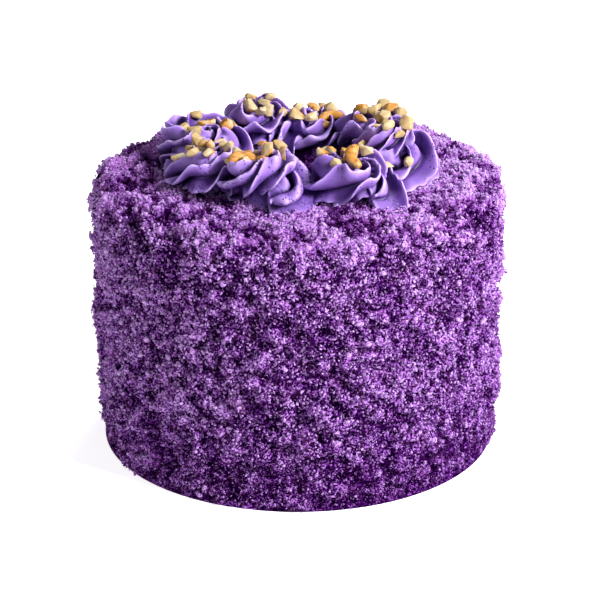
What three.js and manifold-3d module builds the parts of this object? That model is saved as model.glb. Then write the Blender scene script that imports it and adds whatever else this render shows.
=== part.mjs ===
// Ube cake: a tall round cake coated all over with crumbs, with a ring of eight piped
// rosettes on top, each strewn with chopped nuts. Millimetres, +Z up. The origin is the
// middle of the flat underside, and -Y is the front.
import * as THREE from 'three';
import { mergeVertices } from 'three/addons/utils/BufferGeometryUtils.js';
import Module from 'manifold-3d';

const wasm = await Module();
wasm.setup();

// Corners closer than this are one, and heights closer than this are level
const MERGE_DISTANCE = 1e-4;
const LEVEL = 0.01;

// Cake body
const SHOULDER_RADIUS = 85;
const FOOT_RADIUS = 83;
const FOOT_EDGE = 1.2;
const TOP = 115;
const RIM_ROUNDING = 10.5;
const RING_OUTER = 65;
const RING_INNER = 15;
const COLUMNS = 70;
const SIDE_ROWS = 17;
const RIM_ROWS = 4;
const TOP_ROWS = 2;
const MIDDLE_ROWS = 3;

// Crumb coat: the depth and the spacing of its broad lumps, of its clumps and of its clusters.
// The clumps are strongest on the rim and the top, and fade over a height of the side.
const LUMP_DEPTH = 1.0;
const LUMP_SIZE = 16;
const CLUMP_DEPTH = 1.3;
const CLUMP_SIZE = 8.5;
const CLUMP_SHIFT = 1.7;
const CLUMP_FADE = 0.7;
const CLUMP_FADE_HEIGHT = 34;
const CLUSTER_DEPTH = 2.6;
const CLUSTER_SIZE = 4.6;

// Piping: a rope of cream with a star section, wound up in two tiers that narrow to a tip.
// A tier's width and crown are shares of the rosette's radius and height. Its rope's radius and
// its level over the cake are those of a rosette of typical size, and grow and shrink with it.
const STAR_POINTS = 5;
const VALLEY = 0.3;
const SHARPNESS = 2;
const TYPICAL = { radius: 20, height: 22 };
const TIERS = [
  { width: 1, rope: 10, level: 5, crown: 0.62, rows: 8 },
  { width: 0.64, rope: 6.8, level: 13, crown: 1, rows: 6 },
];
const POINTS_PER_RIDGE = 3;

// Unevenness of the ridges along their way: in length, in curl, and from one ridge to the next
const RUFFLE = 0.16;
const RUFFLE_PACE = 2.6;
const FLUTTER = 0.4;
const FLUTTER_PACE = 3.4;
const FLUTTER_SHIFT = 1.3;
const RIDGE_SHIFT = 2.1;
const WAVE_SHIFT = 0.7;

// Ring of rosettes: their gap, and the upright columns that trim them
const GAP = 0.3;
const TRIM_SIDES = 24;
const TRIM_MARGIN = 1;
const TRIM_HEIGHT = 40;

// Chopped nuts: chunks, and long pieces bent like half a kernel
const CHUNK = new THREE.Vector3(5.6, 5, 4);
const LONG_PIECE = new THREE.Vector3(13, 6.5, 5);
const LONG_STEPS = 3;
const LONG_BEND = 4;
const NUT_UNEVENNESS = 0.3;
const NUT_TILT = 0.8;
const NUT_RISE = 0.8;
const NUT_SPREAD = 0.6;
const GOLDEN_ANGLE = Math.PI * (3 - Math.sqrt(5));

const CRUMB = new THREE.MeshStandardMaterial({ color: 0x7a3f99, roughness: 0.95, metalness: 0 });
const CREAM = new THREE.MeshStandardMaterial({ color: 0x6b52a8, roughness: 0.5, metalness: 0 });

// One entry for each rosette. bearing: degrees round the cake from +X; ring: how far its middle
// is from the cake's; start: where its first ridge begins; ridges: how many there are round it;
// lean: how far they curl; wave: where its unevenness begins; nuts: how many pieces lie on it;
// long: how many of those are long and bent; shift: where the nuts gather, from its middle.
const ROSETTES = [
  {
    name: 'rosette_front_left', bearing: -110, ring: 38.5, radius: 21, height: 24,
    start: 4.85, ridges: 6, lean: 0.55, wave: 4.55, nuts: 9, long: 1, shift: [-3, 4],
  },
  {
    name: 'rosette_front_right', bearing: -56, ring: 38.5, radius: 22, height: 17.5,
    start: 5.3, ridges: 5, lean: 0.7, wave: 6.6, nuts: 7, long: 1, shift: [-4, 5],
  },
  {
    name: 'rosette_right', bearing: -10, ring: 38.5, radius: 21, height: 26.5,
    start: 3.75, ridges: 7, lean: 0.5, wave: 9.9, nuts: 5, long: 0, shift: [-1, -8],
  },
  {
    name: 'rosette_left_front', bearing: -148, ring: 39.5, radius: 21.5, height: 19,
    start: 5.15, ridges: 6, lean: 0.6, wave: 21.9, nuts: 8, long: 0, shift: [-4, 3],
  },
  {
    name: 'rosette_left', bearing: 163, ring: 40.5, radius: 23, height: 14,
    start: 3.8, ridges: 6, lean: 0.6, wave: 17.5, nuts: 5, long: 0, shift: [1, 4],
  },
  {
    name: 'rosette_back_right', bearing: 33, ring: 38.5, radius: 19.5, height: 21,
    start: 5.0, ridges: 6, lean: 0.4, wave: 9.6, nuts: 8, long: 0, shift: [1, -3],
  },
  {
    name: 'rosette_back_left', bearing: 115, ring: 38.5, radius: 19.5, height: 20.5,
    start: 5.05, ridges: 5, lean: 0.6, wave: 15.3, nuts: 6, long: 0, shift: [2, -2],
  },
  {
    name: 'rosette_back', bearing: 73, ring: 36.5, radius: 18, height: 13,
    start: 1.0, ridges: 6, lean: 0.4, wave: 12.0, nuts: 5, long: 1, shift: [-3, 1],
  },
];

// Repeatable number from 0 to 1 for a key of one or more numbers
function chance(...keys) {
  return keys.reduce((mixed, key) => {
    const value = Math.sin(key * 12.9898 + mixed * 78.233 + 4.1) * 43758.5453;
    return value - Math.floor(value);
  }, 0);
}

// Smooth noise from -1 to 1, with bumps about one unit apart
function noise(x, y, z) {
  const cell = [x, y, z].map(Math.floor);
  const part = [x - cell[0], y - cell[1], z - cell[2]].map((t) => t * t * (3 - 2 * t));
  let total = 0;
  for (let corner = 0; corner < 8; corner++) {
    const step = [corner & 1, (corner >> 1) & 1, corner >> 2];
    const share = step.reduce((w, on, axis) => w * (on ? part[axis] : 1 - part[axis]), 1);
    total += share * chance(cell[0] + step[0], cell[1] + step[1], cell[2] + step[2]);
  }
  return 2 * total - 1;
}

// Closed geometry with its shared corners merged, as a solid with its faces outward
function solidOf(geometry) {
  const bare = geometry.clone();
  bare.deleteAttribute('normal');
  bare.deleteAttribute('uv');
  const merged = mergeVertices(bare, MERGE_DISTANCE);
  return new wasm.Manifold(new wasm.Mesh({
    numProp: 3,
    vertProperties: new Float32Array(merged.attributes.position.array),
    triVerts: new Uint32Array(merged.index.array),
  }));
}

// Solid turned back into a named mesh
function meshOf(solid, name, material) {
  const { vertProperties, triVerts } = solid.getMesh();
  const geometry = new THREE.BufferGeometry();
  geometry.setAttribute('position', new THREE.BufferAttribute(vertProperties, 3));
  geometry.setIndex(new THREE.BufferAttribute(triVerts, 1));
  geometry.computeVertexNormals();
  const mesh = new THREE.Mesh(geometry, material);
  mesh.name = name;
  return mesh;
}

// Half outline of the cake, from the middle of the underside out and up to the middle of the top
function cakeOutline() {
  const outline = [new THREE.Vector2(0, 0), new THREE.Vector2(FOOT_RADIUS - FOOT_EDGE, 0)];
  const rimStart = TOP - RIM_ROUNDING;
  for (let row = 0; row < SIDE_ROWS; row++) {
    const up = row / SIDE_ROWS;
    const radius = THREE.MathUtils.lerp(FOOT_RADIUS, SHOULDER_RADIUS, up);
    outline.push(new THREE.Vector2(radius, THREE.MathUtils.lerp(FOOT_EDGE, rimStart, up)));
  }
  for (let row = 0; row <= RIM_ROWS; row++) {
    const turn = (row / RIM_ROWS) * (Math.PI / 2);
    const radius = SHOULDER_RADIUS - RIM_ROUNDING * (1 - Math.cos(turn));
    outline.push(new THREE.Vector2(radius, rimStart + RIM_ROUNDING * Math.sin(turn)));
  }
  const flat = SHOULDER_RADIUS - RIM_ROUNDING;
  for (let row = 1; row <= TOP_ROWS; row++) {
    outline.push(new THREE.Vector2(THREE.MathUtils.lerp(flat, RING_OUTER, row / TOP_ROWS), TOP));
  }
  for (let row = 0; row <= MIDDLE_ROWS; row++) {
    outline.push(new THREE.Vector2(RING_INNER * (1 - row / MIDDLE_ROWS), TOP));
  }
  return outline;
}

// Height of the crumb coat at a point: none below, nor on the flat ring that carries the rosettes
function coatHeight(point) {
  const radius = Math.hypot(point.x, point.y);
  const underRing = point.z > TOP - LEVEL && radius < RING_OUTER + LEVEL && radius > RING_INNER - LEVEL;
  if (point.z < LEVEL || underRing) {
    return 0;
  }
  const relief = (depth, size, shift) => depth * noise(
    (point.x + shift) / size,
    (point.y + shift) / size,
    (point.z + shift) / size,
  );
  const low = THREE.MathUtils.smoothstep(TOP - point.z, 0, CLUMP_FADE_HEIGHT);
  const clumps = (1 - CLUMP_FADE * low) * relief(CLUMP_DEPTH, CLUMP_SIZE, CLUMP_SHIFT);
  return relief(LUMP_DEPTH, LUMP_SIZE, 0) + clumps + relief(CLUSTER_DEPTH, CLUSTER_SIZE, 0);
}

function makeCake() {
  const geometry = new THREE.LatheGeometry(cakeOutline(), COLUMNS);
  geometry.rotateX(Math.PI / 2);
  geometry.rotateZ(Math.PI / COLUMNS);
  const place = geometry.attributes.position;
  const normal = geometry.attributes.normal;
  const point = new THREE.Vector3();
  const outward = new THREE.Vector3();
  for (let i = 0; i < place.count; i++) {
    point.fromBufferAttribute(place, i);
    outward.fromBufferAttribute(normal, i);
    outward.setZ(Math.max(outward.z, 0)).normalize();
    point.addScaledVector(outward, coatHeight(point));
    place.setXYZ(i, point.x, point.y, point.z);
  }
  return meshOf(solidOf(geometry), 'cake', CRUMB);
}

// Place on the skin of a tier. ridge counts round the rosette, its whole numbers being crests,
// and climb is the angle round the rope's section, from -90 degrees at its foot to 90 on top.
function tierPoint(rosette, tier, ridge, climb) {
  const thick = tier.rope * (rosette.radius / TYPICAL.radius);
  const travel = (2 * Math.PI * ridge) / rosette.ridges + (climb * STAR_POINTS) / rosette.ridges;
  const phase = RIDGE_SHIFT * Math.round(ridge) + WAVE_SHIFT * rosette.wave;
  const crest = Math.abs(Math.cos(Math.PI * ridge)) ** SHARPNESS;
  const length = 1 + RUFFLE * Math.sin(RUFFLE_PACE * travel + phase);
  const rise = (1 - VALLEY) * crest * length;
  const flutter = FLUTTER * Math.sin(FLUTTER_PACE * travel + FLUTTER_SHIFT * phase);
  const curl = (rosette.lean + flutter) * rise;
  const distance = thick * (VALLEY + rise);
  const out = rosette.radius * tier.width - thick + distance * Math.cos(climb + curl);
  const bearing = rosette.start + travel;
  const high = (tier.level * rosette.height) / TYPICAL.height + distance * Math.sin(climb + curl);
  return new THREE.Vector3(out * Math.cos(bearing), out * Math.sin(bearing), high);
}

// One tier: a closed ball whose meridians follow the crests and valleys of the rope
function tierSolid(rosette, tier) {
  const columns = rosette.ridges * POINTS_PER_RIDGE;
  const geometry = new THREE.SphereGeometry(1, columns, tier.rows);
  const { position, uv } = geometry.attributes;
  for (let i = 0; i < position.count; i++) {
    const row = Math.round(uv.getY(i) * tier.rows);
    const column = Math.round(uv.getX(i) * columns) % columns;
    let point = new THREE.Vector3(0, 0, row === 0 ? 0 : tier.crown * rosette.height);
    if (row > 0 && row < tier.rows) {
      const climb = Math.PI * ((row - 1) / (tier.rows - 2) - 0.5);
      point = tierPoint(rosette, tier, column / POINTS_PER_RIDGE, climb);
    }
    position.setXYZ(i, point.x, point.y, point.z);
  }
  return solidOf(geometry);
}

function swirlSolid(rosette) {
  const [lower, upper] = TIERS.map((tier) => tierSolid(rosette, tier));
  return lower.add(upper);
}

// Upright cylinder that stands on the cake's top, tall enough to trim any rosette
function trimColumn(radius) {
  const geometry = new THREE.CylinderGeometry(radius, radius, TRIM_HEIGHT, TRIM_SIDES);
  geometry.rotateX(Math.PI / 2);
  geometry.translate(0, 0, TRIM_HEIGHT / 2);
  return solidOf(geometry);
}

// Middle of a rosette on the cake's top
function ringPlace({ bearing, ring }) {
  const angle = THREE.MathUtils.degToRad(bearing);
  return new THREE.Vector2(ring * Math.cos(angle), ring * Math.sin(angle));
}

// One nut piece: a block with uneven corners, the long kind bent
function nutGeometry(rosette, k) {
  const long = k < rosette.long;
  const size = long ? LONG_PIECE : CHUNK;
  const geometry = new THREE.BoxGeometry(size.x, size.y, size.z, long ? LONG_STEPS : 1);
  const place = geometry.attributes.position;
  const key = rosette.bearing + k;
  for (let i = 0; i < place.count; i++) {
    const point = new THREE.Vector3().fromBufferAttribute(place, i);
    point.multiplyScalar(1 + NUT_UNEVENNESS * noise(point.x, point.y, point.z + key));
    if (long) {
      point.y += LONG_BEND * ((2 * point.x) / size.x) ** 2;
    }
    place.setXYZ(i, point.x, point.y, point.z);
  }
  geometry.rotateX(NUT_TILT * (chance(key, 1) - 0.5));
  geometry.rotateY(NUT_TILT * (chance(key, 2) - 0.5));
  geometry.rotateZ(2 * Math.PI * chance(key, 3));
  return geometry;
}

// The nut pieces of a rosette, laid on its skin in a sunflower pattern
function nutSolids(rosette, skin) {
  const ray = new THREE.Raycaster();
  const down = new THREE.Vector3(0, 0, -1);
  const solids = [];
  for (let k = 0; k < rosette.nuts; k++) {
    const out = rosette.radius * NUT_SPREAD * Math.sqrt(k / rosette.nuts);
    const angle = k * GOLDEN_ANGLE + rosette.wave;
    const [x, y] = [rosette.shift[0] + out * Math.cos(angle), rosette.shift[1] + out * Math.sin(angle)];
    const above = new THREE.Vector3(x, y, 2 * rosette.height);
    ray.set(above, down);
    const [hit] = ray.intersectObject(skin);
    if (hit) {
      const geometry = nutGeometry(rosette, k);
      geometry.translate(above.x, above.y, hit.point.z + NUT_RISE);
      solids.push(solidOf(geometry));
    }
  }
  return solids;
}

// The largest closed skin of a solid, without sealed hollows and loose scraps
function largestPiece(solid) {
  const pieces = solid.decompose();
  return pieces.reduce((best, piece) => (piece.volume() > best.volume() ? piece : best));
}

// One rosette, trimmed flat below and by an upright plane against each neighbour that it presses
function makeRosette(rosette, others) {
  let solid = swirlSolid(rosette);
  const skin = meshOf(solid, rosette.name, CREAM);
  nutSolids(rosette, skin).forEach((nut) => {
    solid = solid.add(nut);
  });
  solid = solid.intersect(trimColumn(rosette.radius + TRIM_MARGIN));
  const here = ringPlace(rosette);
  others.forEach((other) => {
    const away = ringPlace(other).sub(here);
    const apart = away.length();
    if (apart < rosette.radius + other.radius + 2 * TRIM_MARGIN) {
      const wall = (apart + rosette.radius - other.radius - GAP) / 2;
      solid = solid.trimByPlane([-away.x, -away.y, 0], -wall);
    }
  });
  const mesh = meshOf(largestPiece(solid), rosette.name, CREAM);
  mesh.position.set(here.x, here.y, TOP + GAP);
  return mesh;
}

const group = new THREE.Group();
group.add(makeCake());
ROSETTES.forEach((rosette) => {
  group.add(makeRosette(rosette, ROSETTES.filter((other) => other !== rosette)));
});

export default group;
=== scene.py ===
"""Ube cake: the finish of a tall crumb-coated cake with piped rosettes and chopped nuts.

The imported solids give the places. This script makes the crumbs, the buttercream and the nuts at
their true size, lights them softly and looks at them from the angle of the photograph.
"""
import logging
import math
import random
from dataclasses import dataclass, field
from enum import Enum

import bmesh
import bpy
import numpy as np
from mathutils import Matrix, Vector
from mathutils.bvhtree import BVHTree


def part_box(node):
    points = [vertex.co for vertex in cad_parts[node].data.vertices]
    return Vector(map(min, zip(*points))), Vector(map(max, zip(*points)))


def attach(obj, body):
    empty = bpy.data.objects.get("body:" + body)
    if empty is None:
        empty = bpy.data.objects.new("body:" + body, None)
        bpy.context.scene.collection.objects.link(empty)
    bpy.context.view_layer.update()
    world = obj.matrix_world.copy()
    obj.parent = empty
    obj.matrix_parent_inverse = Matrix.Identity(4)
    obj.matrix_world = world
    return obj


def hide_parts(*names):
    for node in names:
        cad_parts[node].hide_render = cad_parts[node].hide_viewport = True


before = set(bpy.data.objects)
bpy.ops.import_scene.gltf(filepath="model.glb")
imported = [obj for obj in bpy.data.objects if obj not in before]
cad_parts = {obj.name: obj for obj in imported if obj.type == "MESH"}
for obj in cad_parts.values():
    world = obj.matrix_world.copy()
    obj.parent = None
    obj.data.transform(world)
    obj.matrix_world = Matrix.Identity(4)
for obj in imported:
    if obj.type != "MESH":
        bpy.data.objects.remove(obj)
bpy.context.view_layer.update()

MM = 0.001
GOLDEN_ANGLE = math.pi * (3 - math.sqrt(5))
LOG = logging.getLogger("ube_cake")


# Node trees

class Signal:
    """A number, colour or vector on its way through a node tree."""

    def __init__(self, graph: "Graph", socket: bpy.types.NodeSocket) -> None:
        """Wraps an output socket of a tree."""
        self.graph = graph
        self.socket = socket

    def _maths(self, operation: str, first: object, second: object) -> "Signal":
        """Adds one Math node and returns its result."""
        made = self.graph.node("ShaderNodeMath", {"operation": operation}, {0: first, 1: second})
        return Signal(self.graph, made.outputs[0])

    def __add__(self, other: object) -> "Signal":
        """Sum with another signal or number."""
        return self._maths("ADD", self, other)

    def __radd__(self, other: object) -> "Signal":
        """Sum with a number in front."""
        return self._maths("ADD", other, self)

    def __sub__(self, other: object) -> "Signal":
        """Difference from another signal or number."""
        return self._maths("SUBTRACT", self, other)

    def __rsub__(self, other: object) -> "Signal":
        """Difference of a number in front and this signal."""
        return self._maths("SUBTRACT", other, self)

    def __mul__(self, other: object) -> "Signal":
        """Product with another signal or number."""
        return self._maths("MULTIPLY", self, other)

    def __rmul__(self, other: object) -> "Signal":
        """Product with a number in front."""
        return self._maths("MULTIPLY", other, self)

    def __pow__(self, other: object) -> "Signal":
        """This signal raised to a power."""
        return self._maths("POWER", self, other)

    def band(self, low: float, high: float) -> "Signal":
        """Smooth step from 0 at low to 1 at high, or the other way round where low is above high.

        Args:
            low: where the result is 0.
            high: where the result is 1.

        Returns:
            The smoothed signal.
        """
        settings = {"interpolation_type": "SMOOTHSTEP"}
        if low < high:
            made = self.graph.node("ShaderNodeMapRange", settings, {0: self, 1: low, 2: high})
            return Signal(self.graph, made.outputs[0])
        made = self.graph.node("ShaderNodeMapRange", settings, {0: self, 1: high, 2: low})
        return 1 - Signal(self.graph, made.outputs[0])


class Graph:
    """A node tree that is written with plain calls."""

    def __init__(self, tree: bpy.types.NodeTree) -> None:
        """Starts from a tree without nodes."""
        self.tree = tree
        tree.nodes.clear()

    def node(self, kind: str, settings: dict | None = None, inputs: dict | None = None) -> bpy.types.Node:
        """Adds one node.

        Args:
            kind: the node's type.
            settings: its properties, which are set first; "stops" holds a ramp's stops.
            inputs: value or link of each socket, by name or number.

        Returns:
            The new node.
        """
        made = self.tree.nodes.new(kind)
        for name, value in (settings or {}).items():
            if name == "stops":
                self._set_stops(made.color_ramp, value)
            else:
                setattr(made, name, value)
        for name, value in (inputs or {}).items():
            if isinstance(value, Signal):
                value = value.socket
            if isinstance(value, bpy.types.NodeSocket):
                self.tree.links.new(value, made.inputs[name])
            else:
                made.inputs[name].default_value = value
        return made

    @staticmethod
    def _set_stops(ramp: bpy.types.ColorRamp, stops: list[tuple[float, tuple[float, float, float]]]) -> None:
        """Gives a ramp its stops, each a place and a colour."""
        while len(ramp.elements) < len(stops):
            ramp.elements.new(1.0)
        for element, (place, colour) in zip(ramp.elements, stops):
            element.position = place
            element.color = (*colour, 1)

    def signal(self, kind: str, settings: dict | None = None, inputs: dict | None = None,
               output: str | int = 0) -> Signal:
        """Adds one node and wraps one of its outputs.

        Args:
            kind: the node's type.
            settings: its properties.
            inputs: value or link of each socket.
            output: name or number of the output.

        Returns:
            The wrapped output.
        """
        return Signal(self, self.node(kind, settings, inputs).outputs[output])

    def blend(self, share: object, first: object, second: object, mode: str = "MIX") -> Signal:
        """Mixes two colours.

        Args:
            share: how much of the second colour shows.
            first: colour or link.
            second: colour or link.
            mode: the way of mixing.

        Returns:
            The mixed colour.
        """
        made = self.node("ShaderNodeMix", {"data_type": "RGBA", "blend_type": mode})
        for name, value in ((0, share), (6, first), (7, second)):
            if isinstance(value, Signal):
                self.tree.links.new(value.socket, made.inputs[name])
            else:
                made.inputs[name].default_value = value if name == 0 else (*value, 1)
        return Signal(self, made.outputs[2])


class FinishGraph(Graph):
    """A material's node tree, with its coordinates and its one shader."""

    def __init__(self, name: str) -> None:
        """Makes the material and starts its tree."""
        self.material = bpy.data.materials.new(name)
        self.material.use_nodes = True
        super().__init__(self.material.node_tree)
        self.place = self.signal("ShaderNodeTexCoord", output="Object")

    def noise(self, size: float, detail: float = 2, roughness: float = 0.5) -> Signal:
        """Cloudy noise from 0 to 1.

        Args:
            size: width of its clouds in metres.
            detail: how many finer layers it has.
            roughness: how strong the finer layers are.

        Returns:
            The noise as a number.
        """
        values = {"Vector": self.place, "Scale": 1 / size, "Detail": detail, "Roughness": roughness}
        return self.signal("ShaderNodeTexNoise", None, values, "Fac")

    def attribute(self, name: str) -> Signal:
        """Number that the mesh carries under a name."""
        return self.signal("ShaderNodeAttribute", {"attribute_name": name}, None, "Fac")

    def bump(self, height: Signal, distance: float, strength: float = 1) -> Signal:
        """Normal tilted by a height.

        Args:
            height: the relief as a number.
            distance: depth in metres of a height of 1.
            strength: how much of the tilt shows.

        Returns:
            The tilted normal.
        """
        values = {"Height": height, "Distance": distance, "Strength": strength}
        return self.signal("ShaderNodeBump", None, values, "Normal")

    def finish(self, inputs: dict) -> bpy.types.Material:
        """Adds the shader and the output, and returns the material."""
        shader = self.node("ShaderNodeBsdfPrincipled", None, inputs)
        self.node("ShaderNodeOutputMaterial", None, {"Surface": shader.outputs[0]})
        return self.material


# Finishes

Colour = tuple[float, float, float]


@dataclass(frozen=True)
class CrumbFinish:
    """Dry cake crumb, lilac and uneven from grain to grain, with painted shade that makes it almost black in its
    hollows and painted light on its crests.
    """

    name: str
    gain: float = 1.0
    speckle: float = 0.0
    speck_size: float = 0.55 * MM
    warm: float = 0.3
    roughness: float = 1.0
    hollow: Colour = (0.006, 0.0001, 0.014)
    shade: Colour = (0.048, 0.0035, 0.092)
    body: Colour = (0.262, 0.094, 0.375)
    light: Colour = (0.425, 0.245, 0.555)
    bright: Colour = (0.455, 0.285, 0.585)
    rosy: Colour = (0.330, 0.075, 0.360)

    def make(self) -> bpy.types.Material:
        """Builds the material."""
        graph = FinishGraph(self.name)
        tone = graph.attribute("tone") * self.gain
        if self.speckle:
            speck = graph.noise(self.speck_size, 2, 0.6).band(0.36, 0.62)
            share = graph.attribute("gaps_and_painted_shade") * 0.75 + 0.25
            tone = tone + (speck - 0.6) * share * self.speckle
        # Painted light: a low tone gives painted shade in the hollows and a high tone painted light on the crests; the
        # rosy blend follows the same tone.
        stops = [(0.0, self.hollow), (0.28, self.shade), (0.52, self.body), (0.75, self.light), (1.0, self.bright)]
        base = graph.signal("ShaderNodeValToRGB", {"stops": stops}, {"Fac": tone}, "Color")
        rosy = graph.blend(tone, tuple(0.15 * part for part in self.rosy), self.rosy)
        patch = graph.noise(7 * MM, 3).band(0.5, 0.75)
        base = graph.blend(patch * self.warm, base, rosy)
        normal = graph.bump(graph.noise(0.35 * MM, 2), 0.25 * MM, 0.6)
        return graph.finish({
            "Base Color": base, "Roughness": self.roughness, "Normal": normal, "Specular IOR Level": 0.0,
        })


@dataclass(frozen=True)
class CreamFinish:
    """Whipped buttercream: smooth satin, with painted shade that makes it very dark violet in its folds and a painted
    highlight that makes it pale on its edges.
    """

    name: str
    pits: float
    # The darkest colour is painted shade for the folds and air holes, the palest a painted highlight for the edges;
    # body is the cream's own colour.
    painted_recess_shade: Colour = (0.012, 0.001, 0.042)
    shade: Colour = (0.070, 0.023, 0.185)
    body: Colour = (0.258, 0.137, 0.490)
    painted_edge_highlight: Colour = (0.520, 0.370, 0.780)

    def make(self) -> bpy.types.Material:
        """Builds the material."""
        graph = FinishGraph(self.name)
        cloud = graph.noise(12 * MM, 2) * 0.16 - 0.08
        # Painted light: the ramp darkens the folds with painted shade and lightens the standing edges with a painted
        # highlight.
        stops = [(0.2, self.painted_recess_shade), (0.46, self.shade), (0.63, self.body), (0.92, self.painted_edge_highlight)]
        base = graph.signal("ShaderNodeValToRGB", {"stops": stops}, {"Fac": graph.attribute("fold") + cloud},
                            "Color")
        cells = graph.signal("ShaderNodeTexVoronoi", {"feature": "F1"},
                             {"Vector": graph.place, "Scale": 1 / (1.4 * MM), "Randomness": 1.0}, "Distance")
        patches = graph.noise(9 * MM, 1).band(0.64 - 0.34 * self.pits, 0.72 - 0.3 * self.pits)
        pit = cells.band(0.34, 0.16) * patches
        # Painted shade: the air holes are darkened in colour, as well as sunk by the bump below.
        base = graph.blend(pit * 0.85, base, self.painted_recess_shade)
        height = graph.noise(1.4 * MM, 4, 0.65) * 0.3 - pit
        normal = graph.bump(height, 0.45 * MM, 0.6)
        sheen = graph.noise(3 * MM, 2) * 0.16 + 0.44
        return graph.finish({
            "Base Color": base, "Roughness": sheen, "Normal": normal, "Specular IOR Level": 0.4,
            "Subsurface Weight": 0.06, "Subsurface Radius": (1.5 * MM, 1.0 * MM, 2.0 * MM),
            "Subsurface Scale": 1.0,
        })


@dataclass(frozen=True)
class NutFinish:
    """Roasted cashew: cream where it was cut, golden to brown where it was toasted."""

    name: str = "roasted_nut"
    cut: Colour = (0.36, 0.24, 0.085)
    pale: Colour = (0.49, 0.40, 0.25)
    golden: Colour = (0.46, 0.20, 0.028)
    brown: Colour = (0.15, 0.04, 0.007)

    def make(self) -> bpy.types.Material:
        """Builds the material."""
        graph = FinishGraph(self.name)
        tone = graph.attribute("tone")
        toast = graph.attribute("toast")
        spots = graph.noise(2.2 * MM, 3, 0.6)
        base = graph.blend(tone, self.cut, self.pale)
        mottle = graph.noise(1.7 * MM, 2, 0.6).band(0.5, 0.72) * 0.5
        base = graph.blend(mottle, base, self.golden)
        browned = graph.blend(spots.band(0.5, 0.72), self.golden, self.brown)
        skin = (toast + (spots - 0.5) * 0.7).band(0.35, 0.75)
        base = graph.blend(skin, base, browned)
        normal = graph.bump(graph.noise(0.8 * MM, 3, 0.65), 0.3 * MM, 0.5)
        return graph.finish({
            "Base Color": base, "Roughness": graph.noise(1.5 * MM, 2) * 0.25 + 0.38, "Normal": normal,
            "Subsurface Weight": 0.2, "Subsurface Radius": (2.5 * MM, 1.5 * MM, 0.7 * MM),
            "Subsurface Scale": 1.0,
        })


@dataclass(frozen=True)
class FloorFinish:
    """Plain pale floor."""

    name: str = "pale_floor"
    colour: Colour = (0.95, 0.95, 0.955)

    def make(self) -> bpy.types.Material:
        """Builds the material."""
        graph = FinishGraph(self.name)
        shade = graph.noise(80 * MM, 1) * 0.05 + 0.7
        return graph.finish({"Base Color": (*self.colour, 1), "Roughness": shade, "Specular IOR Level": 0.2,
                             "Emission Color": (1, 1, 1, 1), "Emission Strength": 0.75})


# Meshes

def hash_noise(points: np.ndarray, size: float) -> np.ndarray:
    """Smooth repeatable noise from -1 to 1, the same as the crumb relief of the solids.

    Args:
        points: places, one row each.
        size: width of its bumps, in the points' unit.

    Returns:
        One number for each place.
    """
    scaled = points / size
    cell = np.floor(scaled)
    part = scaled - cell
    part = part * part * (3 - 2 * part)
    total = np.zeros(len(points))
    for corner in range(8):
        step = np.array([corner & 1, (corner >> 1) & 1, corner >> 2])
        share = np.prod(np.where(step == 1, part, 1 - part), axis=1)
        mixed = np.zeros(len(points))
        for axis in range(3):
            value = np.sin((cell[:, axis] + step[axis]) * 12.9898 + mixed * 78.233 + 4.1) * 43758.5453
            mixed = value - np.floor(value)
        total += share * mixed
    return 2 * total - 1


def mesh_from(name: str, points: np.ndarray, faces: list[np.ndarray]) -> bpy.types.Mesh:
    """Mesh from arrays.

    Args:
        name: the mesh's name.
        points: places in metres, one row each.
        faces: arrays of corner numbers, one row for each face, all rows of an array equally long.

    Returns:
        The new mesh.
    """
    mesh = bpy.data.meshes.new(name)
    corners = np.concatenate([block.ravel() for block in faces]).astype(np.int32)
    sizes = np.concatenate([np.full(len(block), block.shape[1]) for block in faces])
    starts = np.concatenate([[0], np.cumsum(sizes)[:-1]]).astype(np.int32)
    mesh.vertices.add(len(points))
    mesh.vertices.foreach_set("co", np.asarray(points, dtype=np.float32).ravel())
    mesh.loops.add(len(corners))
    mesh.loops.foreach_set("vertex_index", corners)
    mesh.polygons.add(len(sizes))
    mesh.polygons.foreach_set("loop_start", starts)
    mesh.update(calc_edges=True)
    mesh.validate()
    return mesh


def grid_faces(rows: int, columns: int) -> np.ndarray:
    """Quads of a grid that closes on itself across its columns.

    Args:
        rows: number of rings.
        columns: number of points in each ring.

    Returns:
        One row of four corner numbers for each quad.
    """
    row, column = np.meshgrid(np.arange(rows - 1), np.arange(columns), indexing="ij")
    beside = (column + 1) % columns
    corners = (row * columns + column, row * columns + beside,
               (row + 1) * columns + beside, (row + 1) * columns + column)
    return np.stack([corner.ravel() for corner in corners], axis=1)


def store(mesh: bpy.types.Mesh, name: str, values: np.ndarray) -> None:
    """Keeps one number for each point of a mesh under a name."""
    layer = mesh.attributes.new(name, "FLOAT", "POINT")
    layer.data.foreach_set("value", np.asarray(values, dtype=np.float32))


def standing(mesh: bpy.types.Mesh, rounds: int) -> np.ndarray:
    """Finds how far each point stands out of the eased skin.

    Args:
        mesh: a fine mesh.
        rounds: how often the skin is eased.

    Returns:
        The distance in metres, positive on edges and negative in folds.
    """
    count = len(mesh.vertices)
    points = np.empty(count * 3)
    normals = np.empty(count * 3)
    ends = np.empty(len(mesh.edges) * 2, dtype=np.int32)
    mesh.vertices.foreach_get("co", points)
    mesh.vertex_normals.foreach_get("vector", normals)
    mesh.edges.foreach_get("vertices", ends)
    points = points.reshape(-1, 3)
    ends = ends.reshape(-1, 2)
    degree = np.bincount(ends.ravel(), minlength=count)
    eased = points.copy()
    for _ in range(rounds):
        for axis in range(3):
            around = (np.bincount(ends[:, 0], eased[ends[:, 1], axis], count)
                      + np.bincount(ends[:, 1], eased[ends[:, 0], axis], count))
            eased[:, axis] = 0.5 * (eased[:, axis] + around / degree)
    return np.sum((points - eased) * normals.reshape(-1, 3), axis=1)


def put(name: str, mesh: bpy.types.Mesh) -> bpy.types.Object:
    """Places a mesh in the scene as an object at the origin."""
    piece = bpy.data.objects.new(name, mesh)
    bpy.context.scene.collection.objects.link(piece)
    return piece


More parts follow.
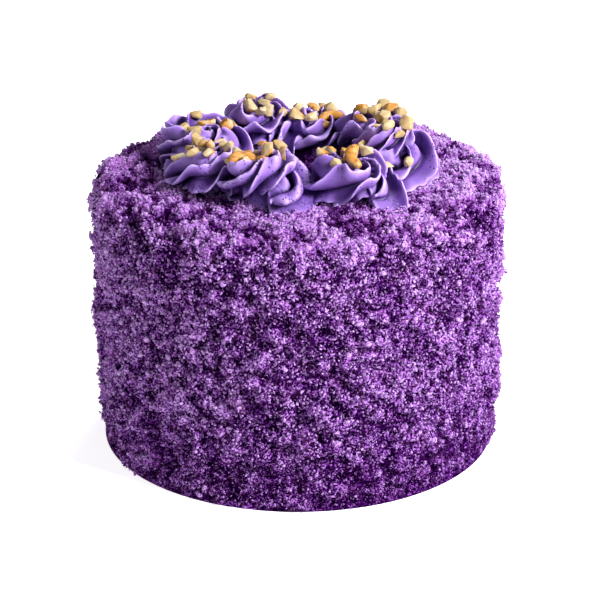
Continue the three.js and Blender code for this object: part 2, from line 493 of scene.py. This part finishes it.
def flatten(piece: bpy.types.Object, name: str) -> bpy.types.Object:
    """Turns a piece with live modifiers into a plain mesh piece.

    Args:
        piece: the object with its modifiers, which is removed.
        name: the new piece's name.

    Returns:
        The plain piece.
    """
    graph = bpy.context.evaluated_depsgraph_get()
    mesh = bpy.data.meshes.new_from_object(piece.evaluated_get(graph), preserve_all_data_layers=True,
                                           depsgraph=graph)
    bpy.data.objects.remove(piece)
    mesh.name = name
    return put(name, mesh)


def hand_over(piece: bpy.types.Object, slot: str, *nodes: str) -> bpy.types.Object:
    """Parents a finished piece of the cake to the root, hides the solids that it stands for and logs its faces.

    Args:
        piece: the finished object.
        slot: not used.
        nodes: the solids that it stands for.

    Returns:
        The same piece.
    """
    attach(piece, "root")
    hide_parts(*nodes)
    LOG.info("%s: %d faces", piece.name, len(piece.data.polygons))
    return piece


# Cake

@dataclass
class CakeBody:
    """The crumb-coated cake: a lumpy core with its relief, and the loose grains on it."""

    shoulder: float = 85 * MM
    foot: float = 83 * MM
    rim: float = 10.5 * MM
    ring_outer: float = 65 * MM
    columns: int = 520
    pace: float = 1.04 * MM
    hidden_pace: float = 3 * MM
    lump_depth: float = 1.0 * MM
    lump_size: float = 16 * MM
    cluster_depth: float = 2.6 * MM
    cluster_size: float = 4.6 * MM
    clump_depth: float = 1.3 * MM
    clump_size: float = 8.5 * MM
    fade_height: float = 34 * MM
    grain_depth: float = 0.9 * MM
    grain_size: float = 1.9 * MM
    patch_size: float = 13 * MM
    # Patch size and fade height of the gaps and of the painted shade in the crumb's hollows.
    gap_and_shade_size: float = 30 * MM
    gap_and_shade_height: float = 9 * MM
    # sheltered sets how far the painted shade of the ring's middle reaches.
    sheltered: float = 20 * MM
    inset: float = 0.9 * MM

    def outline(self) -> tuple[np.ndarray, np.ndarray]:
        """Half outline from the foot up and over the rim to the middle of the top.

        Returns:
            The points (radius, height) and the outward directions, one row each.
        """
        top = self.top()
        start = top - self.rim
        points, outward = [], []
        side_rows = int(start / self.pace)
        for k in range(side_rows):
            up = k / side_rows
            points.append((self.foot + (self.shoulder - self.foot) * up, start * up))
            outward.append((1.0, 0.0))
        rim_rows = int(self.rim * math.pi / 2 / self.pace)
        for k in range(rim_rows):
            turn = k / rim_rows * math.pi / 2
            points.append((self.shoulder - self.rim * (1 - math.cos(turn)), start + self.rim * math.sin(turn)))
            outward.append((math.cos(turn), math.sin(turn)))
        radius = self.shoulder - self.rim
        while radius > self.hidden_pace:
            points.append((radius, top))
            outward.append((0.0, 1.0))
            radius -= self.pace if radius > self.ring_outer - 22 * MM else self.hidden_pace
        return np.array(points), np.array(outward)

    @staticmethod
    def top() -> float:
        """Height of the top that carries the rosettes, from the lowest of their undersides."""
        rosettes = [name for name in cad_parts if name.startswith("rosette")]
        return min(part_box(name)[0][2] for name in rosettes) - 0.3 * MM

    def relief(self, points: np.ndarray, share: np.ndarray) -> tuple[np.ndarray, np.ndarray]:
        """Height of the crumb coat.

        Args:
            points: places on the smooth cake in metres.
            share: how much of the relief each place gets.

        Returns:
            The heights in metres, and the same from 0 in the hollows to 1 on the crests.
        """
        lumps = self.lump_depth * hash_noise(points, self.lump_size)
        clusters = self.cluster_depth * hash_noise(points, self.cluster_size)
        shifted = points + 1.7 * MM
        grains = self.grain_depth * hash_noise(shifted, self.grain_size)
        mid = 0.55 * self.cluster_depth * hash_noise(shifted, 0.55 * self.cluster_size)
        fluffy = 1 - 0.7 * self.lowness(points)
        clumps = self.clump_depth * fluffy * hash_noise(shifted, self.clump_size)
        height = (lumps + clumps + clusters + mid + grains) * share - self.inset * share
        patches = 0.12 * hash_noise(points, self.patch_size)
        crest = 0.5 + patches + (0.9 * clumps + 0.35 * clusters + mid + 1.4 * grains) / (1.5 * self.cluster_depth)
        return height, np.clip(crest, 0, 1)

    def lowness(self, points: np.ndarray) -> np.ndarray:
        """Share from 0 on the rim and the top to 1 on the lower side."""
        part = np.clip((self.top() - points[:, 2]) / self.fade_height, 0, 1)
        return part * part * (3 - 2 * part)

    def gap_and_shade_share(self, points: np.ndarray) -> np.ndarray:
        """How gappy the crumb coat is and how strong the painted shade in its hollows is: most on the lower front,
        least on the rim and the back.
        """
        front = np.clip(-points[:, 1] / self.shoulder, 0, 1)
        side = np.clip((self.top() - points[:, 2]) / self.gap_and_shade_height, 0, 1)
        patches = 0.22 * hash_noise(points, self.gap_and_shade_size)
        return np.clip(0.18 + (0.17 + 0.65 * front + patches) * side, 0, 1)

    def core(self) -> bpy.types.Object:
        """Builds the displaced core, closed below."""
        outline, outward = self.outline()
        rows = len(outline)
        angle = np.arange(self.columns) * 2 * math.pi / self.columns
        spin = np.stack([np.cos(angle), np.sin(angle)], axis=1)
        ring = outline[:, None, 0:1] * spin[None]
        points = np.concatenate([ring, np.broadcast_to(outline[:, None, 1:2], (rows, self.columns, 1))], axis=2)
        normals = np.concatenate([outward[:, None, 0:1] * spin[None],
                                  np.broadcast_to(outward[:, None, 1:2], (rows, self.columns, 1))], axis=2)
        points = points.reshape(-1, 3)
        normals = normals.reshape(-1, 3)
        radius = np.hypot(points[:, 0], points[:, 1])
        under = (points[:, 2] > self.top() - 0.01 * MM) & (radius < self.ring_outer)
        share = np.where(under, 0.45, 1.0) * np.clip(points[:, 2] / (2 * MM), 0, 1)
        height, crest = self.relief(points, share)
        points = points + normals * height[:, None]
        gaps_and_painted_shade = self.gap_and_shade_share(points)
        cover = np.where(points[:, 2] < 1.6 * MM, 0.0, 1.0)
        # Painted light: glow darkens the sheltered middle of the ring with painted shade, is darker towards the foot,
        # and lightens the left side and the right of the rim with painted light.
        sheltered = np.clip((radius - self.sheltered) / self.sheltered, 0.4, 1)
        low = np.clip(1 - points[:, 2] / (0.4 * self.top()), 0, 1)
        left = np.clip(-points[:, 0] / self.shoulder, 0, 1)
        right = np.clip(points[:, 0] / self.shoulder, 0, 1)
        above = np.clip((points[:, 2] - self.top()) / (12 * MM) + 1, 0, 1)
        glow = np.where(points[:, 2] > self.top() - 3 * MM, sheltered, 0.97 - 0.38 * low + 0.22 * left)
        glow = glow + 0.3 * right * above
        middle_top = len(points)
        points = np.concatenate([points, [(0, 0, self.top()), (0, 0, 0)]])
        first = np.arange(self.columns)
        beside = (first + 1) % self.columns
        last = (rows - 1) * self.columns
        cap = np.stack([last + first, last + beside, np.full(self.columns, middle_top)], axis=1)
        sole = np.stack([beside, first, np.full(self.columns, middle_top + 1)], axis=1)
        mesh = mesh_from("crumb_core", points, [grid_faces(rows, self.columns), cap, sole])
        # Painted light: the tone is darker in the relief's hollows and lighter on its crests, more so where the coat
        # is gappy and shaded, and glow multiplies in its painted light and shade.
        tone = (0.3 * (1 - gaps_and_painted_shade) + (0.75 - 0.2 * (1 - gaps_and_painted_shade)) * crest) * glow
        carried = {"tone": tone, "crest": crest, "cover": cover, "glow": glow, "gaps_and_painted_shade": gaps_and_painted_shade}
        for name, values in carried.items():
            store(mesh, name, np.concatenate([values, [0.0, 0.0]]))
        mesh.polygons.foreach_set("use_smooth", np.ones(len(mesh.polygons), dtype=bool))
        return put("crumb_core", mesh)


class GrainShape(Enum):
    """The shapes of loose crumbs."""

    GRAIN = "grain"
    CLUMP = "clump"


@dataclass
class CrumbKind:
    """One kind of loose crumb, scattered over the core."""

    name: str
    shape: GrainShape
    finish: CrumbFinish
    size: float
    spread: float
    density: float
    lift: float
    seed: int
    contrast: tuple[float, float] = (0.3, 0.72)

    def _grain(self, graph: Graph, size: Signal) -> Signal:
        """Adds the mesh of one crumb.

        Args:
            graph: the tree that it is added to.
            size: the crumb's width.

        Returns:
            The mesh.
        """
        if self.shape is GrainShape.GRAIN:
            return graph.signal("GeometryNodeMeshUVSphere", None,
                                {"Segments": 4, "Rings": 2, "Radius": size * 0.5}, "Mesh")
        ball = graph.signal("GeometryNodeMeshIcoSphere", None, {"Subdivisions": 2, "Radius": size * 0.5}, "Mesh")
        normal = graph.signal("GeometryNodeInputNormal")
        rough = graph.signal("ShaderNodeTexNoise", None, {"Scale": 1.1 / self.size, "Detail": 2.0}, "Fac")
        push = graph.signal("ShaderNodeVectorMath", {"operation": "SCALE"},
                            {0: normal, "Scale": (rough - 0.5) * (1.3 * self.size)})
        return graph.signal("GeometryNodeSetPosition", None, {"Geometry": ball, "Offset": push})

    def _random(self, graph: Graph, low: float, high: float, shift: int) -> Signal:
        """Random number for each crumb.

        Args:
            graph: the tree that it is added to.
            low: smallest value.
            high: largest value.
            shift: what sets it apart from the other random numbers.

        Returns:
            The random number.
        """
        values = {2: low, 3: high, 8: self.seed + shift}
        return graph.signal("FunctionNodeRandomValue", {"data_type": "FLOAT"}, values, 1)

    @staticmethod
    def _carried(graph: Graph, name: str) -> Signal:
        """Number that the core carries under a name."""
        return graph.signal("GeometryNodeInputNamedAttribute", {"data_type": "FLOAT"}, {"Name": name}, "Attribute")

    def _tree(self) -> bpy.types.NodeTree:
        """Builds the tree that scatters the crumbs."""
        tree = bpy.data.node_groups.new(f"{self.name}_scatter", "GeometryNodeTree")
        graph = Graph(tree)
        tree.interface.new_socket("Geometry", in_out="INPUT", socket_type="NodeSocketGeometry")
        for name in ("Density", "Size", "Spread", "Lift"):
            tree.interface.new_socket(name, in_out="INPUT", socket_type="NodeSocketFloat")
        tree.interface.new_socket("Geometry", in_out="OUTPUT", socket_type="NodeSocketGeometry")
        given = graph.node("NodeGroupInput")
        sizes = {name: Signal(graph, given.outputs[name]) for name in ("Density", "Size", "Spread", "Lift")}
        cover = self._carried(graph, "cover")
        spots = graph.node("GeometryNodeDistributePointsOnFaces", {"distribute_method": "RANDOM"},
                           {"Mesh": given.outputs["Geometry"], "Density": cover * sizes["Density"],
                            "Seed": self.seed})
        rise = self._random(graph, -0.6, 1.0, 1) * sizes["Lift"]
        offset = graph.signal("ShaderNodeVectorMath", {"operation": "SCALE"},
                              {0: spots.outputs["Normal"], "Scale": rise})
        lifted = graph.signal("GeometryNodeSetPosition", None,
                              {"Geometry": spots.outputs["Points"], "Offset": offset})
        turn = graph.signal("FunctionNodeRandomValue", {"data_type": "FLOAT_VECTOR"},
                            {0: (0, 0, 0), 1: (2 * math.pi,) * 3, 8: self.seed + 2}, 0)
        widths = [1 + sizes["Spread"] * self._random(graph, -1.0, 1.0, 3 + axis) for axis in range(3)]
        scale = graph.signal("ShaderNodeCombineXYZ", None, {"X": widths[0], "Y": widths[1], "Z": widths[2]})
        placed = graph.signal("GeometryNodeInstanceOnPoints", None,
                              {"Points": lifted, "Instance": self._grain(graph, sizes["Size"]),
                               "Rotation": turn, "Scale": scale})
        crest = self._carried(graph, "crest")
        height = crest.band(*self.contrast)
        chance = self._random(graph, 0.0, 1.0, 7)
        # Painted light: grains in the relief's hollows get painted shade and grains on its crests painted light, more
        # strongly where the coat is gappy and shaded; glow multiplies in painted light and shade.
        calm = height * 0.66 + chance * 0.2 + 0.04
        gappy = height * 0.3 + chance.band(0.15, 0.85) * 0.8 - 0.16
        tone = (calm + self._carried(graph, "gaps_and_painted_shade") * (gappy - calm)) * self._carried(graph, "glow")
        for name, value in (("tone", tone), ("gaps_and_painted_shade", self._carried(graph, "gaps_and_painted_shade"))):
            placed = graph.signal("GeometryNodeStoreNamedAttribute", {"data_type": "FLOAT", "domain": "INSTANCE"},
                                  {"Geometry": placed, "Name": name, "Value": value})
        real = graph.signal("GeometryNodeRealizeInstances", None, {"Geometry": placed})
        dressed = graph.signal("GeometryNodeSetMaterial", None,
                               {"Geometry": real, "Material": self.finish.make()})
        graph.node("NodeGroupOutput", None, {"Geometry": dressed})
        return tree

    def scatter(self, core: bpy.types.Object) -> bpy.types.Object:
        """Scatters the crumbs over the core.

        Args:
            core: the cake's core, with its cover attribute.

        Returns:
            One piece with all crumbs of this kind.
        """
        carrier = put(f"{self.name}_carrier", core.data.copy())
        modifier = carrier.modifiers.new("scatter", "NODES")
        modifier.node_group = self._tree()
        values = {"Density": self.density, "Size": self.size, "Spread": self.spread, "Lift": self.lift}
        for item in modifier.node_group.interface.items_tree:
            if item.in_out == "INPUT" and item.name in values:
                modifier[item.identifier] = values[item.name]
        piece = flatten(carrier, self.name)
        smooth = np.full(len(piece.data.polygons), self.shape is GrainShape.CLUMP)
        piece.data.polygons.foreach_set("use_smooth", smooth)
        return piece


# Rosettes

@dataclass
class Rosette:
    """One piped rosette: a star-shaped rope of cream wound up in a shrinking spiral."""

    node: str
    bearing: float
    radius: float
    height: float
    start: float
    ridges: int
    lean: float
    wave: float
    nuts: int
    long_nuts: int = 0
    nut_shift: tuple[float, float] = (0, 0)
    long_shift: tuple[float, float] = (0, 0)
    long_rise: float = 0.0
    long_turn: float = 0.2
    long_face: tuple[float, float, float] = (0, -0.3, 1)
    pits: float = 0.0
    swing: float = 0.35
    hold: float = 2.5
    turns: float = 1.75
    points: int = 5
    valley: float = 0.27
    sharpness: float = 4.0
    rope: float = 10 * MM
    tip: float = 1.8 * MM
    level: float = 0.4
    sway: float = 1.2 * MM
    flare: float = 0.09
    slump: float = 3.0 * MM
    ruffle: float = 0.2
    flutter: float = 0.45
    frill: float = 0.05
    ring: float = 38.5 * MM
    steps: int = 420
    around: int = 120
    voxel: float = 0.42 * MM
    sole: float = -0.6 * MM

    def middle(self) -> Vector:
        """Middle of the rosette's underside on the cake."""
        angle = math.radians(self.bearing)
        return Vector((self.ring * math.cos(angle), self.ring * math.sin(angle), CakeBody.top()))

    def rope_points(self) -> np.ndarray:
        """Skin of the rope in the rosette's own place.

        Returns:
            An array of steps by points around by three coordinates, in metres.
        """
        along = np.linspace(0, 1, self.steps)[:, None]
        travel = 2 * math.pi * self.turns * along
        fade = np.sqrt(1 - along)
        begin = np.sqrt(np.clip(along / 0.03, 0.25, 1))
        swell = 1 + 0.06 * np.sin(5.2 * travel + self.wave + 3.8)
        taper = along ** self.hold
        thick = (self.rope * (1 - taper) + self.tip * taper) * begin * swell
        drift = self.sway * fade * np.sin(4.3 * travel + self.wave)
        out = np.maximum((self.radius - self.rope) * (1 - along ** (0.85 * self.hold)) + drift, 0.05 * MM)
        low = self.rope * self.level
        bob = 0.7 * self.sway * fade * np.sin(3.1 * travel + self.wave + 1.9)
        high = low + (self.height - low - self.tip) * along ** 1.1 + bob

        angle = np.linspace(0, 2 * math.pi, self.around, endpoint=False)[None, :]
        swing = self.swing * np.sin(1.7 * travel + 2 * self.wave)
        star = angle - self.ridges / self.points * travel - swing
        ridge = np.round(star * self.points / (2 * math.pi)) % self.points
        phase = 2.1 * ridge + 0.7 * self.wave
        crest = np.abs(np.cos(self.points * star / 2)) ** self.sharpness
        uneven = self.ruffle * np.sin(2.6 * travel + phase) + self.frill * np.sin(17 * travel + 5 * phase)
        rise = (1 - self.valley) * crest * (1 + uneven)
        wave = np.sin(3.4 * travel + 1.3 * phase) + 0.4 * np.sin(7.1 * travel + 2.2 * phase)
        curl = (self.lean + self.flutter * wave) * rise
        distance = thick * (self.valley + rise)
        across = distance * np.cos(angle + curl)
        squeeze = np.minimum(1, (out + 0.2 * MM) / (1.1 * thick))
        across = np.where(across < 0, across * squeeze, across)
        bearing = self.start + travel
        slump = self.slump * np.clip(1.3 - 1.9 * along, 0, 1)
        z = high + distance * np.sin(angle + curl) - slump * np.clip(across / self.rope, 0, 1) ** 2
        flare = 1 + self.flare * np.clip(1 - z / (0.45 * self.height), 0, 1)
        z = np.maximum(z, self.sole)
        x = (out + across) * flare * np.cos(bearing)
        y = (out + across) * flare * np.sin(bearing)
        return np.stack([x, y, z], axis=2)

    def _plug(self) -> tuple[np.ndarray, np.ndarray]:
        """Rings and faces of the cream inside the windings, which leaves no hollow."""
        rings = [(0.34, self.sole), (0.3, 0.3 * self.height), (0.2, 0.5 * self.height), (0.02, 0.6 * self.height)]
        angle = np.arange(32) * 2 * math.pi / 32
        points = [np.stack([share * self.radius * np.cos(angle), share * self.radius * np.sin(angle),
                            np.full(32, height)], axis=1) for share, height in rings]
        return np.concatenate(points), grid_faces(len(rings), 32)

    def build(self, finish: bpy.types.Material) -> bpy.types.Object:
        """Builds the swirl as one smooth skin.

        Args:
            finish: the cream's material.

        Returns:
            The dressed swirl.
        """
        rope = self.rope_points()
        count = rope.shape[0] * rope.shape[1]
        plug, plug_faces = self._plug()
        points = np.concatenate([rope.reshape(-1, 3), plug]) + np.array(self.middle())
        first = np.arange(self.around)[None, :]
        last = first + (self.steps - 1) * self.around
        ends = [first[:, ::-1], last]
        sole = count + np.arange(32)[None, ::-1]
        crown = count + len(plug) - 32 + np.arange(32)[None, :]
        faces = [grid_faces(self.steps, self.around), *ends, plug_faces + count, sole, crown]
        rough = put(f"{self.node}_rope", mesh_from(f"{self.node}_rope", points, faces))
        skin = rough.modifiers.new("skin", "REMESH")
        skin.mode = "VOXEL"
        skin.voxel_size = self.voxel
        skin.use_smooth_shade = True
        ease = rough.modifiers.new("ease", "SMOOTH")
        ease.factor = 0.5
        ease.iterations = 2
        piece = flatten(rough, self.node.replace("rosette", "swirl"))
        # The fold number drives the cream's painted shade in the folds and painted highlight on the edges.
        store(piece.data, "fold", 0.5 + standing(piece.data, 50) / (1.8 * MM))
        piece.data.materials.clear()
        piece.data.materials.append(finish)
        return piece


# Nuts

@dataclass
class ChoppedNuts:
    """The chopped nuts that lie on the rosettes, one piece for each kind."""

    rosettes: list[Rosette]
    chunk: Vector = field(default_factory=lambda: Vector((6.5, 5.7, 4.9)) * MM)
    bevel: float = 0.6 * MM
    spread: float = 0.6
    sink: float = 0.28
    footprint: float = 2.2 * MM
    settle: float = 1.2 * MM
    long_arc: float = 2.6
    long_bend: float = 5.4 * MM
    long_thickness: float = 2.6 * MM
    long_steps: int = 26
    long_around: int = 20
    toasted: float = 0.3
    seed: int = 11

    def _chunk(self, rng: random.Random) -> bmesh.types.BMesh:
        """One angular chunk with softened edges.

        Args:
            rng: the source of its unevenness.

        Returns:
            The chunk round the origin.
        """
        shape = bmesh.new()
        size = self.chunk * rng.uniform(0.72, 1.15)
        stretch = Vector((rng.uniform(0.85, 1.25), rng.uniform(0.8, 1.1), rng.uniform(0.75, 1.15)))
        for _ in range(15):
            way = Vector([rng.gauss(0, 1) for _ in range(3)]).normalized()
            shape.verts.new([0.56 * size[axis] * stretch[axis] * way[axis] for axis in range(3)])
        hull = bmesh.ops.convex_hull(shape, input=shape.verts)
        spare = {item for item in hull["geom_interior"] + hull["geom_unused"]
                 if isinstance(item, bmesh.types.BMVert)}
        bmesh.ops.delete(shape, geom=list(spare), context="VERTS")
        bmesh.ops.bevel(shape, geom=list(shape.edges), offset=self.bevel, segments=2, profile=0.5,
                        affect="EDGES", clamp_overlap=True)
        return shape

    def _long_piece(self, rng: random.Random) -> bmesh.types.BMesh:
        """One long curved piece, round at its ends and flat on the side where the nut split.

        Args:
            rng: the source of its unevenness.

        Returns:
            The piece round the origin.
        """
        shape = bmesh.new()
        size = rng.uniform(0.9, 1.1)
        rings = []
        for step in range(self.long_steps):
            part = step / (self.long_steps - 1)
            turn = (part - 0.5) * self.long_arc
            width = self.long_thickness * size * math.sqrt(max(1 - (2 * part - 1) ** 4, 0.02))
            ring = []
            for k in range(self.long_around):
                angle = 2 * math.pi * k / self.long_around
                across = width * math.cos(angle) * (1 + 0.12 * math.sin(3 * turn + 2 * angle))
                up = width * (0.95 * math.sin(angle) if math.sin(angle) > 0 else 0.45 * math.sin(angle))
                reach = self.long_bend * size + across
                ring.append(shape.verts.new((reach * math.sin(turn), reach * math.cos(turn) - self.long_bend, up)))
            rings.append(ring)
        for first, second in zip(rings, rings[1:]):
            for k in range(self.long_around):
                following = (k + 1) % self.long_around
                shape.faces.new((first[k], first[following], second[following], second[k]))
        shape.faces.new(rings[0][::-1])
        shape.faces.new(rings[-1])
        return shape

    def _places(self, rosette: Rosette) -> list[tuple[Vector, bool]]:
        """Places of one rosette's nuts seen from above.

        Args:
            rosette: the rosette that they lie on.

        Returns:
            Each place, and whether a long piece lies there.
        """
        places = []
        for k in range(rosette.nuts):
            is_long = k < rosette.long_nuts
            middle = rosette.middle() + Vector((*(rosette.long_shift if is_long else rosette.nut_shift), 0))
            out = self.spread * rosette.radius * math.sqrt(k / rosette.nuts)
            angle = k * GOLDEN_ANGLE + rosette.wave
            places.append((middle + Vector((out * math.cos(angle), out * math.sin(angle), 0)), is_long))
        return places

    def _seat(self, tree: BVHTree, place: Vector) -> tuple[Vector, Vector] | None:
        """Finds the cream below a place.

        Args:
            tree: the swirls' skin.
            place: the place seen from above.

        Returns:
            The point on the skin and its outward direction, or nothing where no cream lies below.
        """
        hits = []
        for k in range(7):
            out = 0 if k == 6 else self.footprint
            start = Vector((place.x + out * math.cos(k * math.pi / 3), place.y + out * math.sin(k * math.pi / 3), 1.0))
            spot, normal, _, _ = tree.ray_cast(start, Vector((0, 0, -1)))
            if spot is not None:
                hits.append((spot.z, normal))
        if len(hits) < 5:
            return None
        normal = sum((normal for _, normal in hits), Vector())
        return Vector((place.x, place.y, max(high for high, _ in hits) - self.settle)), normal.normalized()

    def _add(self, whole: bmesh.types.BMesh, part: bmesh.types.BMesh, toast: float, fade: float,
             rng: random.Random) -> None:
        """Adds one nut to the piece, with its colouring.

        Args:
            whole: the piece.
            part: the nut, already in its place.
            toast: how toasted it is on its darkest side.
            fade: how much of that is missing on its palest side.
            rng: the source of its unevenness.
        """
        tones = whole.verts.layers.float["tone"]
        toasts = whole.verts.layers.float["toast"]
        side = Vector([rng.gauss(0, 1) for _ in range(3)]).normalized()
        part.normal_update()
        tone = rng.random()
        copies = {}
        for vert in part.verts:
            copy = whole.verts.new(vert.co)
            copy[tones] = tone
            copy[toasts] = toast * (1 - fade * 0.5 * (1 - side.dot(vert.normal)))
            copies[vert] = copy
        for face in part.faces:
            whole.faces.new([copies[vert] for vert in face.verts])

    def build(self, swirls: list[bpy.types.Object], finish: bpy.types.Material) -> list[bpy.types.Object]:
        """Lays the nuts on the swirls.

        Args:
            swirls: the cream pieces.
            finish: the nuts' material.

        Returns:
            The piece of chunks and the piece of long nuts.
        """
        rng = random.Random(self.seed)
        skins = bmesh.new()
        for swirl in swirls:
            skins.from_mesh(swirl.data)
        tree = BVHTree.FromBMesh(skins)
        skins.free()
        wholes = {}
        for name in ("nut_chunks", "nut_long_pieces"):
            wholes[name] = bmesh.new()
            wholes[name].verts.layers.float.new("tone")
            wholes[name].verts.layers.float.new("toast")
        for rosette in self.rosettes:
            for place, is_long in self._places(rosette):
                seat = self._seat(tree, place)
                if seat is None:
                    continue
                spot, normal = seat
                part = self._long_piece(rng) if is_long else self._chunk(rng)
                turn = Matrix.Rotation(rosette.long_turn if is_long else rng.uniform(0, 2 * math.pi), 4, "Z")
                if is_long:
                    normal = Vector(rosette.long_face).normalized()
                    spot.z += rosette.long_rise
                loose = 0.15 if is_long else 0.5
                tilt = (Matrix.Rotation(rng.uniform(-loose, loose), 4, "X")
                        @ Matrix.Rotation(rng.uniform(-loose, loose), 4, "Y"))
                lean = Vector((0, 0, 1)).rotation_difference((normal + Vector((0, 0, 0.6))).normalized())
                rise = self.chunk.z * self.sink
                move = Matrix.Translation(spot + normal * rise) @ lean.to_matrix().to_4x4() @ turn @ tilt
                part.transform(move)
                is_toasted = is_long or rng.random() < self.toasted
                toast = rng.uniform(0.95, 1.3) if is_toasted else rng.uniform(0.3, 0.75)
                fade = 0.45 if is_long else 1.0
                self._add(wholes["nut_long_pieces" if is_long else "nut_chunks"], part, toast, fade, rng)
                part.free()
        pieces = []
        for name, whole in wholes.items():
            bmesh.ops.recalc_face_normals(whole, faces=whole.faces)
            mesh = bpy.data.meshes.new(name)
            whole.to_mesh(mesh)
            whole.free()
            mesh.materials.append(finish)
            mesh.polygons.foreach_set("use_smooth", np.ones(len(mesh.polygons), dtype=bool))
            pieces.append(put(name, mesh))
        return pieces


@dataclass
class Studio:
    """Pale floor, soft lights and the camera of the photograph."""

    lens: float = 144.0
    eye: Vector = field(default_factory=lambda: Vector((0.8, -938.5, 445.2)) * MM)
    pitch: float = 22.44

    def floor(self) -> None:
        """Lays the floor."""
        mesh = mesh_from("floor", np.array([(-3, -3, 0), (3, -3, 0), (3, 3, 0), (-3, 3, 0)], dtype=float),
                         [np.array([[0, 1, 2, 3]])])
        floor = put("floor", mesh)
        floor.data.materials.append(FloorFinish().make())

    def light(self, name: str, place: tuple[float, float, float], power: float, size: float,
              colour: Colour = (1, 1, 1)) -> None:
        """Hangs one soft light that faces the rosettes.

        Args:
            name: its name.
            place: where it hangs, in metres.
            power: in watts.
            size: its width in metres.
            colour: its tint.
        """
        lamp = bpy.data.lights.new(name, "AREA")
        lamp.energy = power
        lamp.size = size
        lamp.color = colour
        holder = bpy.data.objects.new(name, lamp)
        holder.location = place
        aim = Vector((0, 0, 0.09)) - holder.location
        holder.rotation_euler = aim.to_track_quat("-Z", "Y").to_euler()
        bpy.context.scene.collection.objects.link(holder)

    def sky(self, strength: float) -> None:
        """Gives the room its even white."""
        world = bpy.data.worlds.new("white_room")
        world.use_nodes = True
        graph = Graph(world.node_tree)
        glow = graph.node("ShaderNodeBackground", None, {"Color": (1, 1, 1, 1), "Strength": strength})
        graph.node("ShaderNodeOutputWorld", None, {"Surface": glow.outputs[0]})
        bpy.context.scene.world = world

    def camera(self) -> None:
        """Sets up the camera."""
        camera = bpy.data.objects.new("camera", bpy.data.cameras.new("camera"))
        camera.data.lens = self.lens
        camera.data.sensor_width = 36
        camera.location = self.eye
        camera.rotation_euler = (math.radians(90 - self.pitch), 0, 0)
        bpy.context.scene.collection.objects.link(camera)
        bpy.context.scene.camera = camera

    def build(self) -> None:
        """Sets up the whole studio."""
        self.floor()
        self.sky(0.11)
        self.light("key", (0.7, -0.47, 0.66), 24, 0.28)
        self.light("left", (-0.7, -0.6, 0.5), 2.4, 0.7)
        self.light("back", (0.2, 0.6, 0.8), 4.6, 0.4)
        self.camera()
        bpy.context.scene.view_settings.view_transform = "Standard"


ROSETTES = [
    Rosette("rosette_front_left", -110, 21 * MM, 24 * MM, 4.85, 5, 0.55, 4.55, 13, 1, (-3 * MM, 4 * MM), pits=1.0,
            swing=0.6, sharpness=2.4, points=4, long_shift=(-9 * MM, 2 * MM)),
    Rosette("rosette_front_right", -56, 22 * MM, 17.5 * MM, 5.3, 5, 0.7, 6.6, 9, 1, (-4 * MM, 5 * MM),
            long_shift=(-1 * MM, -5 * MM), long_rise=3 * MM, long_turn=1.7, long_face=(0, -1, 0.5)),
    Rosette("rosette_right", -10, 21 * MM, 26.5 * MM, 3.75, 7, 0.5, 9.9, 7, 0, (-1 * MM, -8 * MM)),
    Rosette("rosette_left_front", -148, 21.5 * MM, 19 * MM, 5.15, 6, 0.6, 21.9, 11, 0, (-4 * MM, 3 * MM),
            level=0.3, slump=3.6 * MM, ring=39.5 * MM),
    Rosette("rosette_left", 163, 25 * MM, 14.5 * MM, 3.8, 6, 0.6, 17.5, 7, 0, (1 * MM, 4 * MM), ring=42 * MM),
    Rosette("rosette_back_right", 33, 19.5 * MM, 21 * MM, 5.0, 6, 0.4, 9.6, 13, 0, (1 * MM, -3 * MM)),
    Rosette("rosette_back_left", 115, 19.5 * MM, 20.5 * MM, 5.05, 5, 0.6, 15.3, 8, 0, (2 * MM, -2 * MM)),
    Rosette("rosette_back", 73, 18 * MM, 13 * MM, 1.0, 6, 0.4, 12.0, 8, 1, (-3 * MM, 1 * MM), ring=36.5 * MM,
            long_shift=(3 * MM, 0)),
]


def main() -> None:
    """Builds the cake from the core outwards, reporting each piece."""
    logging.basicConfig(level=logging.INFO, format="%(name)s %(message)s")
    Studio().build()
    body = CakeBody()
    core = body.core()
    # Painted shade: the core gets a lower tone than the loose grains, for the shade it lies in under them.
    core.data.materials.append(CrumbFinish("crumb_core", gain=0.75, speckle=0.6, speck_size=0.9 * MM).make())
    crumb = CrumbFinish("crumb", speckle=0.7)
    kinds = [
        CrumbKind("crumbs_coarse", GrainShape.GRAIN, crumb, 1.45 * MM, 0.5, 2.3e5, 0.7 * MM, 21),
        CrumbKind("crumbs_middle", GrainShape.GRAIN, crumb, 1.22 * MM, 0.5, 2.3e5, 0.9 * MM, 22),
        CrumbKind("crumbs_fine", GrainShape.GRAIN, crumb, 1.05 * MM, 0.5, 2.3e5, 1.1 * MM, 23),
        CrumbKind("crumbs_finest", GrainShape.GRAIN, crumb, 0.9 * MM, 0.5, 2.3e5, 1.2 * MM, 25),
        CrumbKind("crumb_clumps", GrainShape.CLUMP, crumb, 2.0 * MM, 0.5, 1.8e4, 0.4 * MM, 24),
    ]
    scattered = [kind.scatter(core) for kind in kinds]
    for piece in [core, *scattered]:
        hand_over(piece, "crumb_coat", "cake")
    cream = CreamFinish("buttercream", 0.35).make()
    worked = CreamFinish("buttercream_worked", 1.0).make()
    swirls = []
    for rosette in ROSETTES:
        swirls.append(rosette.build(worked if rosette.pits else cream))
        hand_over(swirls[-1], "buttercream", rosette.node)
    for piece in ChoppedNuts(ROSETTES).build(swirls, NutFinish().make()):
        hand_over(piece, "chopped_nuts", *[rosette.node for rosette in ROSETTES])


if __name__ == "__main__":
    main()
